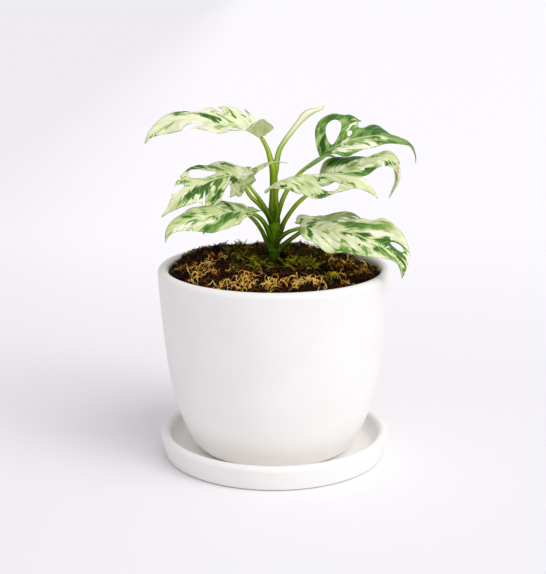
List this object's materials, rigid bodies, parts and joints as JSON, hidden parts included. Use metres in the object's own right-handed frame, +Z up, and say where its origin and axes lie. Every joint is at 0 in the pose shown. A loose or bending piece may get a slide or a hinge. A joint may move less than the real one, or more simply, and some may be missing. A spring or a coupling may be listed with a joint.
{
  "type": "potted houseplant",
  "caption": "Young variegated monstera with cut, cream-marked leaves, standing in moss-topped soil in a round white ceramic pot on a matching saucer.",
  "frame": {"origin": "centre of the saucer's flat underside, on the surface that the object stands on", "axes": "+Z up along the pot's axis; the plant spreads widest along X; the pictured side faces -Y"},
  "size_m": [0.1833, 0.1602, 0.2432],
  "materials": {
    "white_ceramic": "matte white glaze",
    "potting_soil": "crumbly dark bark and peat mix",
    "green_moss": "fine matted fibres",
    "dried_moss": "coarse dried fibres",
    "stem_green": "satin green plant skin",
    "stalk_green": "satin green plant skin",
    "variegated_leaf": "satin leaf, green and cream",
    "new_leaf_green": "satin young leaf, pale green"
  },
  "bodies": {
    "root": {"saucer": "white_ceramic", "pot": "white_ceramic", "soil": "potting_soil", "moss_green": "green_moss", "moss_brown": "dried_moss", "stem": "stem_green", "new_leaf": "new_leaf_green", "stalk_top_left": "stalk_green", "blade_top_left": "variegated_leaf", "stalk_top_right": "stalk_green", "blade_top_right": "variegated_leaf", "stalk_mid_right_front": "stalk_green", "blade_mid_right_front": "variegated_leaf", "stalk_mid_right": "stalk_green", "blade_mid_right": "variegated_leaf", "stalk_low_right_front": "stalk_green", "blade_low_right_front": "variegated_leaf", "stalk_low_right_back": "stalk_green", "blade_low_right_back": "variegated_leaf", "stalk_mid_left": "stalk_green", "blade_mid_left": "variegated_leaf", "stalk_small_front": "stalk_green", "blade_small_front": "variegated_leaf", "stalk_low_left_front": "stalk_green", "blade_low_left_front": "variegated_leaf", "stalk_low_left_back": "stalk_green", "blade_low_left_back": "variegated_leaf"}
  },
  "joints": []
}
